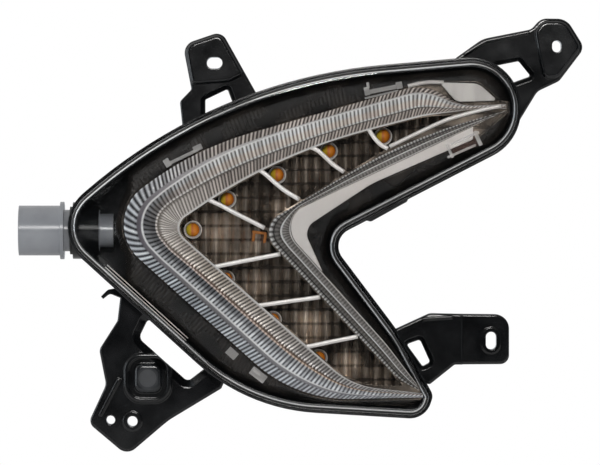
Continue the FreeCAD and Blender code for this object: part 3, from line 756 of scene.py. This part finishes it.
def lens_cap(edge, wall, margin):
    """Points and triangles that fill the front of the lens inside its edge."""
    border = edge[:, (0, 2)]
    low, high = border.min(axis=0), border.max(axis=0)
    xs = np.arange(low[0], high[0], lens_grid)
    zs = np.arange(low[1], high[1], lens_grid)
    grid = np.array([(x, z) for x in xs for z in zs])
    inner = loop_points(rim_corners, lens_inset + wall + lens_draft + margin, lens_step)
    grid = grid[inside(grid, inner)]
    flat = [Vector(p) for p in np.vstack((border, grid))]
    count = len(border)
    edges = [(i, (i + 1) % count) for i in range(count)]
    _, _, faces, origin, _, _ = geometry.delaunay_2d_cdt(flat, edges, [], 1, 1e-5)
    source = [ids[0] for ids in origin]
    return grid, [[source[i] for i in face] for face in faces]


def make_lens():
    """Clear cover: two surfaces a wall apart, joined round the foot of the skirt."""
    points, faces, feet = [], [], []
    for wall, edge_radius in ((0.0, lens_edge_radius), (lens_wall, lens_edge_radius - lens_wall)):
        rings = lens_side(wall, edge_radius)
        count = len(rings[0])
        base = sum(len(block) for block in points)
        feet.append(base)
        points += rings
        faces += ring_faces(len(rings), count, base)
        grid, triangles = lens_cap(rings[-1], wall, edge_radius + lens_flat_border[-1] + lens_step)
        cap = base + (len(rings) - 1) * count
        points.append(np.column_stack((grid[:, 0], lens_face(grid[:, 0], wall), grid[:, 1])))
        faces += [tuple(cap + i for i in face) for face in triangles]
    for i in range(count):
        j = (i + 1) % count
        faces.append((feet[0] + i, feet[0] + j, feet[1] + j, feet[1] + i))
    add_piece("clear_lens", np.vstack(points), faces, lens_clear, ["outer_lens"])


def edge_line(corners, step):
    """Points along an open edge, and the length walked."""
    spans = outline_spans(corners, closed=False)
    rows = []
    for span in spans:
        count = max(2, math.ceil(span_length(span) / step))
        rows.append(span_points(span, np.arange(count) / count))
    rows.append(span_points(spans[-1], [1.0]))
    points = np.vstack(rows)
    return points, walked_length(points)


def walked_length(points):
    """Length walked along a line of points."""
    return np.concatenate(([0.0], np.cumsum(np.linalg.norm(np.diff(points, axis=0), axis=1))))


def nearest(points, line):
    """For each point the number of the nearest point of a line, and how far it is."""
    square = (points[:, 0:1] - line[None, :, 0]) ** 2 + (points[:, 1:2] - line[None, :, 1]) ** 2
    return square.argmin(axis=1), np.sqrt(square.min(axis=1))


def matched_edges(outer, inner, step):
    """Points along two edges in pairs that lie square to the strip, and the length along its middle."""
    first, first_walked = edge_line(outer, step)
    second, second_walked = edge_line(inner, step)
    forth = second_walked[nearest(first, second)[0]]
    back = np.maximum.accumulate(first_walked[nearest(second, first)[0]]) + 1e-6 * np.arange(len(second))
    partner = 0.5 * (forth + np.interp(first_walked, back, second_walked))
    partner[0], partner[-1] = 0.0, second_walked[-1]
    partner = np.maximum.accumulate(partner)
    window = 2 * int(match_reach / step) + 1
    padded = np.pad(partner, window // 2, mode="reflect", reflect_type="odd")
    partner = np.clip(np.convolve(padded, np.ones(window) / window, mode="valid"), 0.0, second_walked[-1])
    second = np.column_stack([np.interp(partner, second_walked, second[:, k]) for k in (0, 1)])
    return first, second, walked_length(0.5 * (first + second))


def ridge(phase):
    """Row of round ridges with sharp valleys, 0 to 1."""
    return np.abs(np.sin(math.pi * phase))


def painted_glint(phase):
    """Painted glint of each ridge, uneven from one to the next."""
    share = np.sin(12.9898 * np.floor(phase)) * 43.7585
    return painted_glint_low + painted_glint_spread * (share - np.floor(share))


def strip_mesh(name, outer, inner, across, heights, tones, material, stands_for):
    """Strip between two edges whose face follows a height map; its back is flat."""
    rows, columns = heights.shape
    shares = across[:, :, None]
    flat = outer[:, None, :] + (inner - outer)[:, None, :] * shares
    front = np.stack((flat[:, :, 0], seat_y - band_lift - heights, flat[:, :, 1]), axis=2).reshape(-1, 3)
    back_y = np.full(rows, seat_y - band_lift)
    back_outer = np.column_stack((outer[:, 0], back_y, outer[:, 1]))
    back_inner = np.column_stack((inner[:, 0], back_y, inner[:, 1]))
    first_outer = rows * columns
    first_inner = first_outer + rows
    faces = []
    for r in range(rows - 1):
        a, b = r * columns, (r + 1) * columns
        for c in range(columns - 1):
            faces.append((a + c, a + c + 1, b + c + 1, b + c))
        faces.append((first_outer + r, first_outer + r + 1, first_inner + r + 1, first_inner + r))
        faces.append((a, b, first_outer + r + 1, first_outer + r))
        faces.append((a + columns - 1, first_inner + r, first_inner + r + 1, b + columns - 1))
    for r in (0, rows - 1):
        end = [r * columns + c for c in range(columns)]
        faces.append(tuple(end + [first_inner + r, first_outer + r]))
    points = np.vstack((front, back_outer, back_inner))
    back_tones = np.vstack((tones[:, 0], tones[:, -1]))
    tones = np.vstack((tones.reshape(-1, 3), back_tones))
    return add_piece(name, points, faces, material, stands_for, tones=tones)


def build_lanes(borders, samples):
    """Shares across a strip: each lane from one border to the next at its own sample places."""
    columns, lanes, places = [], [], []
    for number, steps in enumerate(samples):
        low, high = borders[number], borders[number + 1]
        first = 0 if number == 0 else 1
        for place in np.linspace(0.0, 1.0, steps + 1)[first:]:
            columns.append(low + (high - low) * place)
            lanes.append(number)
            places.append(place)
    return np.hstack(columns), np.array(lanes), np.array(places)


def tone_between(shares, places, colours):
    """Colours at shares of a length, from the colours at some places along it."""
    return np.column_stack([np.interp(shares, places, [c[k] for c in colours]) for k in range(3)])


def painted_light_along(along, colours):
    """Painted light along the band, from its colours at four places."""
    return tone_between(along, painted_light_knots, colours)


def between(low, high, share):
    """Two colours mixed by a share for each point."""
    return low + (high - low) * share


def make_band():
    """Light guide band: slanted outer row, smooth channel, main row, bead line, fine inner row and lip. Its
    point tones are painted light: highlights on the ridge crests, shade in the valleys, a bright line by the
    channel and on the lip, and reflections that change along the band.
    """
    outer, inner, walked = matched_edges(band_outer, band_inner, band_pitch / band_samples)
    along = walked / walked[-1]
    zero = np.zeros((len(along), 1))
    borders = [np.interp(along, band_knots, shares)[:, None] for shares in band_borders]
    across, lanes, places = build_lanes([zero, *borders, zero + 1.0], band_row_samples)
    width = np.linalg.norm(outer - inner, axis=1)
    taper = np.clip(width / band_full_width, band_least_taper, 1.0)[:, None]
    coarse = (walked / band_pitch)[:, None]
    fine = (walked / band_fine_pitch)[:, None]
    heights = np.zeros(across.shape)
    tones = np.zeros((*across.shape, 3))
    line = np.array(painted_highlight_line)
    for c, (row, v) in enumerate(zip(lanes, places)):
        bulge = math.sin(math.pi * v)
        if row == 0:
            phase = coarse - outer_lean * v
            crest = ridge(phase)
            slope = border_height + slope_rise * math.sin(0.5 * math.pi * v)
            height = slope + outer_ridge * crest * math.sin(math.pi * (0.15 + 0.7 * v))
            painted_shine = crest**3 * painted_glint(phase)
            tone = between(painted_light_along(along, outer_painted_valley), painted_light_along(along, outer_painted_crest), painted_shine)
        elif row == 1:
            height = channel_height - channel_dip * bulge + zero
            tone = between(painted_light_along(along, channel_painted_tone), line, 0.9 if v > 0.8 else 0.0)
        elif row == 2:
            phase = coarse - outer_lean - tooth_lean * v
            crest = ridge(phase)
            swell = channel_height + tooth_rise * bulge**0.8
            height = swell + tooth_ridge * (crest - 1.0) * (0.25 + 0.75 * bulge)
            painted_shine = crest**1.8 * painted_glint(phase)
            tooth = between(painted_light_along(along, tooth_painted_valley), painted_light_along(along, tooth_painted_crest), painted_shine)
            foot = between(painted_light_along(along, foot_painted_valley), painted_light_along(along, foot_painted_crest), painted_shine)
            tone = between(tooth, foot, float(np.interp(v, [0.4, 0.62], [0.0, 1.0])))
        elif row == 3:
            crest = ridge(coarse - bead_lead)
            height = bead_height + bead_rise * bulge * crest
            tone = between(painted_light_along(along, bead_painted_valley), painted_light_along(along, bead_painted_crest), crest * bulge)
        elif row == 4:
            phase = fine - fine_lean * v
            crest = ridge(phase)
            slope = bead_height - fine_fall * v
            height = slope + fine_ridge * crest * math.sin(math.pi * (0.1 + 0.8 * v))
            painted_shine = crest**2.5 * painted_glint(phase)
            tone = between(painted_light_along(along, fine_painted_valley), painted_light_along(along, fine_painted_crest), painted_shine)
        else:
            height = border_height - lip_fall * v + zero
            tone = between(np.array(lip_painted_tone), line, v) + zero
        heights[:, c : c + 1] = height
        tones[:, c] = np.clip(tone, 0.0, 1.0)
    strip_mesh(
        "ridged_band", outer, inner, across, heights * taper, tones,
        guide_clear, ["fluted_light_guide"],
    )


def make_bar():
    """Light bar: toothed edge strip, dark channel, ribbed strip with a fine line beside it. Its point tones
    are painted light: highlights on the rib crests, shade between them, and the fine line a painted
    highlight.
    """
    outer, inner, walked = matched_edges(bar_outer, bar_inner, bar_pitch / bar_samples)
    zero = np.zeros((len(walked), 1))
    across, lanes, places = build_lanes([zero + share for share in bar_borders], bar_strip_samples)
    width = np.linalg.norm(outer - inner, axis=1)
    taper = np.clip(width / bar_full_width, bar_least_taper, 1.0)[:, None]
    crest = ridge((walked / bar_pitch)[:, None])
    heights = np.zeros(across.shape)
    tones = np.zeros((*across.shape, 3))
    for c, (row, v) in enumerate(zip(lanes, places)):
        bulge = max(0.0, math.sin(math.pi * v))
        swell, power, rib = bar_rises[row]
        heights[:, c : c + 1] = bar_height + swell * bulge**power + rib * crest * bulge
        high, low = (np.array(colour) for colour in bar_painted_light[row])
        tones[:, c] = between(low, high, crest**2)
    strip_mesh(
        "ribbed_bar", outer, inner, across, heights * taper, tones,
        bar_clear, ["inner_light_bar"],
    )


def closed_ring(front, back):
    """Points and faces of the ring between two grids of points whose rows run round a loop."""
    rows, columns = front.shape[:2]
    second = rows * columns
    faces = []
    for r in range(rows):
        a, b = r * columns, ((r + 1) % rows) * columns
        for c in range(columns - 1):
            faces.append((a + c, a + c + 1, b + c + 1, b + c))
            faces.append((second + a + c, second + b + c, second + b + c + 1, second + a + c + 1))
        for c in (0, columns - 1):
            faces.append((a + c, b + c, second + b + c, second + a + c))
    return np.vstack((front.reshape(-1, 3), back.reshape(-1, 3))), faces


def smooth_loop(points, passes):
    """Points round a loop, each moved towards its neighbours."""
    for _ in range(passes):
        points = 0.25 * np.roll(points, 1, axis=0) + 0.5 * points + 0.25 * np.roll(points, -1, axis=0)
    return points


def make_skirt():
    """Dark skirt that falls from the reflector's edge to the housing's wall, fluted outside the band."""
    edge = loop_points(plate_corners, skirt_overlap, skirt_pitch / skirt_ridge_samples)
    walked = np.cumsum(np.linalg.norm(edge - np.roll(edge, 1, axis=0), axis=1))
    band_edge, _ = edge_line(band_outer, 1.0)
    fluted = np.clip(2.0 - 0.5 * nearest(edge, band_edge)[1], 0.0, 1.0)[:, None]
    wall_line = loop_points(rim_corners, skirt_wall_inset, skirt_wall_step)
    gap = smooth_loop(wall_line[nearest(edge, wall_line)[0]], skirt_smoothing) - edge
    reach = np.linalg.norm(gap, axis=1)
    width = np.minimum(reach, np.interp(edge[:, 0], skirt_apex_x, skirt_apex_width))
    gap *= (width / reach)[:, None]
    shares = np.linspace(0.0, 1.0, skirt_columns)[None, :]
    flat = edge[:, None, :] + gap[:, None, :] * shares[:, :, None]
    drop = skirt_drop * np.minimum(1.0, width / skirt_full_width)[:, None]
    crest = ridge(walked / skirt_pitch)[:, None]
    flutes = skirt_rise * fluted * crest * np.sin(math.pi * (0.1 + 0.85 * shares))
    y = skirt_front_y + drop * shares**skirt_fall_power - flutes
    front = np.stack((flat[:, :, 0], y, flat[:, :, 1]), axis=2)
    points, faces = closed_ring(front, front + np.array((0.0, skirt_wall, 0.0)))
    add_piece("fluted_skirt", points, faces, skirt_black)


def block_mesh(blocks):
    """Points and faces of boxes with bevelled edges."""
    points, faces = [], []
    for x, z, length, width, front_y, back_y, angle in blocks:
        solid = bmesh.new()
        bmesh.ops.create_cube(solid, size=1.0)
        for vert in solid.verts:
            vert.co = Vector((vert.co.x * length, vert.co.y * (back_y - front_y), vert.co.z * width))
        bmesh.ops.bevel(
            solid, geom=solid.edges[:], offset=block_bevel, segments=3, profile=0.5, affect="EDGES",
        )
        solid.verts.index_update()
        base = len(points)
        turn = math.radians(angle)
        for vert in solid.verts:
            across = vert.co.x * math.cos(turn) - vert.co.z * math.sin(turn)
            up = vert.co.x * math.sin(turn) + vert.co.z * math.cos(turn)
            points.append((x + across, 0.5 * (front_y + back_y) + vert.co.y, z + up))
        faces += [tuple(base + vert.index for vert in face.verts) for face in solid.faces]
        solid.free()
    return np.array(points), faces


def make_tabs():
    """Clear tabs outside the band, the clear window at the end of the trim with a dark pane of painted shade
    inside, and the amber clip by the bar.
    """
    tabs = [
        ("upper_tab", upper_tab_blocks, tab_tone, tab_clear, "guide_clear"),
        ("left_tabs", left_tab_blocks, tab_tone, tab_clear, "guide_clear"),
        ("lower_tabs", lower_tab_blocks, tab_tone, tab_clear, "guide_clear"),
        ("trim_window", window_blocks, tab_tone, tab_clear, "guide_clear"),
        ("trim_window_shade_pane", window_shade_pane_blocks, pane_painted_shade, tab_clear, "guide_clear"),
        ("amber_clip", amber_clip_blocks, amber_clip_tone, dome_amber, "dome_amber"),
    ]
    for name, blocks, tone, material, slot in tabs:
        points, faces = block_mesh(blocks)
        tones = np.tile(tone, (len(points), 1))
        add_piece(name, points, faces, material, smooth=False, tones=tones)


def lathe(profile, segments=32):
    """Surface of revolution about Y from radius and depth pairs; the ends are closed."""
    points = []
    for radius, y in profile:
        for k in range(segments):
            angle = 2.0 * math.pi * k / segments
            points.append((radius * math.cos(angle), y, radius * math.sin(angle)))
    faces = ring_faces(len(profile), segments)
    faces.append(tuple(range(segments)))
    faces.append(tuple(range((len(profile) - 1) * segments, len(profile) * segments)))
    return np.array(points), faces


def make_domes():
    """Amber domes in bright cups, each round a yellow chip."""
    top_y = reflector_back_y - dome_height
    profile = [(dome_radius, reflector_back_y), (dome_radius, top_y + dome_radius)]
    for turn in np.linspace(0.0, 0.48 * math.pi, 10)[1:]:
        profile.append((dome_radius * math.cos(turn), top_y + dome_radius * (1.0 - math.sin(turn))))
    points, faces = lathe(profile)
    cup_points, cup_faces = lathe(cup_profile)
    # Point tones across each dome paint the chip's refracted image and the shading across the dome
    sides = points[:, 0] / dome_radius
    tones = tone_between(sides, dome_painted_light_places, dome_painted_light)
    chip = np.array([(x, y, z) for x in chip_sides_x for y in chip_sides_y for z in chip_sides_z])
    chip_faces = [(0, 1, 3, 2), (4, 6, 7, 5), (0, 4, 5, 1), (2, 3, 7, 6), (0, 2, 6, 4), (1, 5, 7, 3)]
    for number, (x, z) in enumerate(dome_places, start=1):
        place = np.array((x, 0.0, z))
        end = "_" + str(number)
        led = "amber_led" + end
        add_piece("amber_dome" + end, points + place, faces, dome_amber, [led], tones=tones)
        add_piece("dome_cup" + end, cup_points + place, cup_faces, fin_pale)
        chip_points = chip + place + np.array(chip_shift)
        add_piece("dome_chip" + end, chip_points, chip_faces, chip_yellow, smooth=False)


def swept_strip(name, line, width, rise, base_y, material):
    """Rounded strip along a smooth line through points, on a plane at base_y."""
    points = np.array(line)
    knots = np.linspace(0.0, 1.0, len(points))
    shares = np.linspace(0.0, 1.0, strip_steps * (len(points) - 1) + 1)
    centre = np.column_stack([np.interp(shares, knots, points[:, k]) for k in (0, 1)])
    for _ in range(strip_smoothing):
        centre[1:-1] = 0.25 * centre[:-2] + 0.5 * centre[1:-1] + 0.25 * centre[2:]
    run = np.gradient(centre, axis=0)
    run /= np.linalg.norm(run, axis=1)[:, None]
    across = np.column_stack((-run[:, 1], run[:, 0]))
    rows = []
    for side, height in strip_section:
        flat = centre + across * (side * width)
        rows.append(np.column_stack((flat[:, 0], np.full(len(flat), base_y - rise * height), flat[:, 1])))
    solid = np.stack(rows, axis=1)
    count, columns = solid.shape[:2]
    faces = ring_faces(count, columns)
    faces.append(tuple(range(columns)))
    faces.append(tuple(range((count - 1) * columns, count * columns)))
    add_piece(name, solid.reshape(-1, 3), faces, material)


def make_fins():
    """Pale caps on the fins, the strip and wing at the upper tip, and two pale ribs along the rim inside the
    lower-left lens edge, which paint bright highlight lines.
    """
    for number, line in enumerate(fin_lines, start=1):
        name = "fin_cap_" + str(number)
        swept_strip(name, line, fin_width, fin_rise, seat_y + fin_sink, fin_pale)
    swept_strip("tip_strip", tip_strip_line, tip_strip_width, tip_strip_rise, seat_y, fin_pale)
    for number, line in enumerate(painted_edge_highlight_lines, start=1):
        name = "painted_edge_highlight_" + str(number)
        base_y = rim_front_y + painted_edge_highlight_sink
        swept_strip(name, line, painted_edge_highlight_width, painted_edge_highlight_rise, base_y, fin_pale)
    swept_strip("tip_wing", tip_wing_line, tip_strip_width, tip_strip_rise, seat_y, trim_pale)


make_lens()
make_band()
make_bar()
make_domes()
make_fins()
make_skirt()
make_tabs()

# Materials of the solids that stay
node_materials = {
    "rear_housing": housing_black,
    "lens_sealant": sealant_grey,
    "main_reflector": reflector_bright,
    "trim_bezel": trim_pale,
    "upper_tip_bezel": tip_pale,
    "upper_led_board": board_green,
    "lower_led_board": board_green,
    "board_screws": screw_steel,
    "reflector_screws": screw_steel,
    "bulb_socket": socket_grey,
    "socket_terminals": terminal_brass,
    "socket_gasket": gasket_black,
    "bulb": bulb_glass,
    "breather_vent": vent_black,
}
for node_name, node_material in node_materials.items():
    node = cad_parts[node_name]
    node.data.materials.clear()
    node.data.materials.append(node_material)


# Stage, light and camera

def make_floor():
    """Plain pale floor under the lamp."""
    mesh = bpy.data.meshes.new("floor")
    signs = [(-1, -1), (1, -1), (1, 1), (-1, 1)]
    corners = [(x * floor_half, y * floor_half, floor_level) for x, y in signs]
    mesh.from_pydata(corners, [], [(0, 1, 2, 3)])
    floor = placed("floor", mesh)
    floor_pale = moulded(
        "floor_pale", (0.80, 0.80, 0.80), (0.83, 0.83, 0.83), (0.7, 0.8), grain=200.0, bump=0.0,
    )
    mesh.materials.append(floor_pale)


def make_world():
    """White surroundings that are darker on the camera's side, as in a light tent."""
    world = bpy.data.worlds.new("light_tent")
    scene.world = world
    world.use_nodes = True
    tree = world.node_tree
    tree.nodes.clear()
    output = tree.nodes.new("ShaderNodeOutputWorld")
    place = tree.nodes.new("ShaderNodeTexCoord")
    parts = tree.nodes.new("ShaderNodeSeparateXYZ")
    tree.links.new(place.outputs["Generated"], parts.inputs["Vector"])
    depth = map_range(tree, parts.outputs["Y"], -1.0, 1.0, 0.0, 1.0)
    tent = tree.nodes.new("ShaderNodeValToRGB")
    while len(tent.color_ramp.elements) < len(tent_stops):
        tent.color_ramp.elements.new(0.5)
    for element, (position, level) in zip(tent.color_ramp.elements, tent_stops):
        element.position = position
        element.color = (level, level, level, 1.0)
    tree.links.new(depth, tent.inputs["Fac"])
    rise = map_range(tree, parts.outputs["Z"], -tent_turn, tent_turn, 0.0, 1.0)
    tint = ramp(tree, rise, tent_low_tint, warm_white, 0.0, 1.0)
    side = map_range(tree, parts.outputs["X"], -tent_turn, tent_turn, 1.0, tent_right_level)
    around = tree.nodes.new("ShaderNodeBackground")
    tree.links.new(multiplied(tree, tent.outputs["Color"], tint), around.inputs["Color"])
    tree.links.new(side, around.inputs["Strength"])
    white = tree.nodes.new("ShaderNodeBackground")
    white.inputs["Color"].default_value = (1.0, 1.0, 1.0, 1.0)
    path = tree.nodes.new("ShaderNodeLightPath")
    mix = tree.nodes.new("ShaderNodeMixShader")
    tree.links.new(path.outputs["Is Camera Ray"], mix.inputs["Fac"])
    tree.links.new(around.outputs["Background"], mix.inputs[1])
    tree.links.new(white.outputs["Background"], mix.inputs[2])
    tree.links.new(mix.outputs["Shader"], output.inputs["Surface"])


def add_lamp(name, place, power, width, height, colour):
    """Soft lamp aimed at the middle of the part."""
    data = bpy.data.lights.new(name, "AREA")
    data.energy = power
    data.shape = "RECTANGLE"
    data.size = width
    data.size_y = height
    data.color = colour
    lamp = placed(name, data)
    lamp.location = place
    lamp.visible_transmission = False
    aim = Vector((view_centre_x, 0.0, view_centre_z)) - Vector(place)
    lamp.rotation_euler = aim.to_track_quat("-Z", "Y").to_euler()


def make_camera():
    """Long lens straight in front of the lamp."""
    data = bpy.data.cameras.new("front_camera")
    data.sensor_fit = "HORIZONTAL"
    data.sensor_width = sensor_width
    data.lens = sensor_width * view_distance / view_width
    data.clip_end = view_clip_end
    camera = placed("front_camera", data)
    camera.location = (view_centre_x, view_plane_y - view_distance, view_centre_z)
    camera.rotation_euler = (0.5 * math.pi, 0.0, 0.0)
    scene.camera = camera


make_floor()
make_world()
add_lamp("front_softbox", (view_centre_x, -2.9, 0.86), 27.0, 0.5, 0.5, warm_white)
add_lamp("left_strip", (view_centre_x - 1.4, -0.7, view_centre_z), 6.0, 0.3, 1.2, cool_white)
add_lamp("bottom_strip", (view_centre_x, -0.7, view_centre_z - 1.4), 4.0, 1.2, 0.3, cool_white)
make_camera()
scene.view_settings.view_transform = "Standard"
